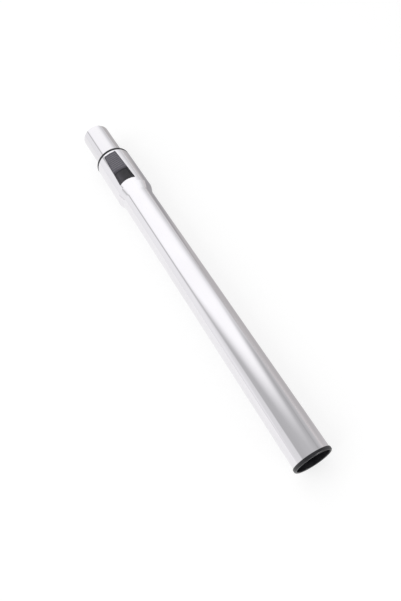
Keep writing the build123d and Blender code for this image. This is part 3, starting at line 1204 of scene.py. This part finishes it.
    def lamps(self) -> None:
        """Soft key from the tube's +Y side, a weak one from the far end and a low one before the mouth."""
        self.lamp("key", place=(0.2, 1.1, 0.9), aim=(0.2, 0.0, 0.0), size=(1.4, 1.2), watts=6.5)
        self.lamp("far", place=(1.4, -0.2, 1.2), aim=(0.25, 0.0, 0.0), size=(1.4, 1.4), watts=3.0)
        self.lamp("front", place=(-0.8, -0.52, 0.17), aim=(0.0, 0.0, 0.0), size=(0.5, 0.3), watts=2.7,
                  mirrored=True)

    def sky(self) -> None:
        """Plain light for matt surfaces, a pale room for metal and white behind everything."""
        world = bpy.data.worlds.new("studio")
        bpy.context.scene.world = world
        world.use_nodes = True
        graph = Graph(world.node_tree)
        ahead, side, rise = graph.parts(graph.add("ShaderNodeTexCoord").outputs["Generated"])
        room = graph.across(graph.from_overhead(side, rise), self.room)
        dim = graph.math("MULTIPLY", graph.fall(ahead, span=(0.49, 0.62), smooth=True),
                         graph.fall(side, span=(-0.4, 0.0)))
        past_near = graph.rise(ahead, span=(0.3, 0.45))
        dim_side = graph.mix(past_near, opaque(self.near_room), opaque(self.dim_room))
        room = graph.mix(dim, room, dim_side)
        by_mouth = graph.math("MULTIPLY", graph.fall(ahead, span=(0.25, 0.48)),
                              graph.rise(side, span=(0.0, 0.4)))
        room = graph.mix(by_mouth, room, opaque(self.mouth_room))
        path = graph.add("ShaderNodeLightPath")
        mirrored = graph.math("MAXIMUM", path.outputs["Is Glossy Ray"], path.outputs["Is Transmission Ray"])
        plain = grey(0.7)
        white = grey(1.0)
        level = graph.mix(mirrored, plain, room)
        level = graph.mix(path.outputs["Is Camera Ray"], level, white)
        back = world.node_tree.nodes["Background"]
        graph.join(level, back.inputs["Color"])
        back.inputs["Strength"].default_value = 1.0

    @staticmethod
    def card(sheet: Piece, gain: float = 1.0) -> tuple[Graph, Sequence[Socket], Socket]:
        """Make a sheet a card that only reflections show.

        Args:
            sheet: the sheet.
            gain: brightness of its palest part.

        Returns:
            Its material's graph, its coordinates and its colour input.
        """
        sheet.visible_camera = False
        sheet.visible_diffuse = False
        sheet.visible_shadow = False
        material = bpy.data.materials.new(sheet.name)
        material.use_nodes = True
        sheet.data.materials.append(material)
        graph = Graph(material.node_tree)
        glow = graph.add("ShaderNodeEmission")
        glow.inputs["Strength"].default_value = gain
        graph.join(glow.outputs[0], material.node_tree.nodes["Material Output"].inputs["Surface"])
        material.node_tree.nodes.remove(material.node_tree.nodes["Principled BSDF"])
        return graph, graph.parts(graph.place()), glow.inputs["Color"]

    def overhead(self) -> None:
        """Grey card above the wide end, paling towards the far end."""
        lift = self.card_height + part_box("end_ring")[1].y
        sheet = self.sheet("overhead_card", low=(-1.5, -1.6), high=(4.0, 1.6), lift=lift)
        graph, (along, side, _), colour = self.card(sheet, gain=1.2)
        angle = graph.from_overhead(side, self.card_height)
        turned_by = graph.spread(along, span=(0.11, 0.45), to_low=0.0, to_high=15.0)
        slant = graph.math("MULTIPLY", turned_by, graph.fall(angle, span=(-40.0, -10.0)))
        near = graph.across(graph.math("ADD", angle, slant), self.near)
        haze_share = graph.spread(along, span=(0.12, 0.4), to_low=0.0, to_high=0.35)
        near = graph.mix(haze_share, near, opaque(self.haze))
        far = graph.across(angle, self.far)
        tip_angle = 22.0
        off_tip = graph.math("ADD", angle, tip_angle)
        bend = graph.math("MULTIPLY", off_tip, off_tip)
        curve = graph.spread(off_tip, span=(-0.5, 0.5), to_low=1.5e-4, to_high=5.6e-5)
        reach = graph.math("SUBTRACT", along, graph.math("MULTIPLY", bend, curve))
        pale = graph.rise(reach, span=(0.03, 0.237), smooth=True)
        pale_side = graph.math("MULTIPLY", graph.rise(along, span=(0.25, 0.45)),
                               graph.rise(angle, span=(48.0, 56.0)))
        graph.join(graph.mix(graph.math("MAXIMUM", pale, pale_side), near, far), colour)

    def painted_floor_shade(self) -> None:
        """Painted shadow: grey card lying beside the tube on its -Y side, seen only in reflections, that
        stands in for the floor's shade there and is darkest close to the tube.
        """
        sheet = self.sheet("floor_shade_card", low=(-0.5, -4.0), high=(1.2, -0.004), lift=0.0002)
        graph, (along, side, _), colour = self.card(sheet)
        off_tube = graph.math("MULTIPLY", side, -1.0)
        far_off = graph.rise(off_tube, span=(0.015, 0.3))
        # Painted shadow: the card is darkest close to the tube, as the floor's shade would be.
        tone = graph.mix(far_off, opaque(self.beside), opaque(self.away))
        off_stripe = graph.math("ABSOLUTE", graph.math("SUBTRACT", along, self.stripe))
        on_stripe = graph.fall(off_stripe, span=(0.02, 0.1), smooth=True)
        tone = graph.mix(on_stripe, tone, opaque(self.stripe_colour))
        mouth_share = graph.spread(along, span=(0.005, 0.04), to_low=0.7, to_high=0.0)
        graph.join(graph.mix(mouth_share, tone, opaque(self.by_mouth)), colour)


def main() -> None:
    """Build the shared effects, the sub-assemblies in order and the studio."""
    logging.basicConfig(level=logging.INFO, format="%(message)s")
    bpy.context.scene.view_settings.view_transform = "Standard"
    SharedEffects().build()
    for assembly in (TubePair(), MouthRing(), RunningParts(), CollarLatch()):
        for piece in assembly.build():
            LOG.info("%s: %s", type(assembly).__name__, piece.name)
    Studio().build()


if __name__ == "__main__":
    main()
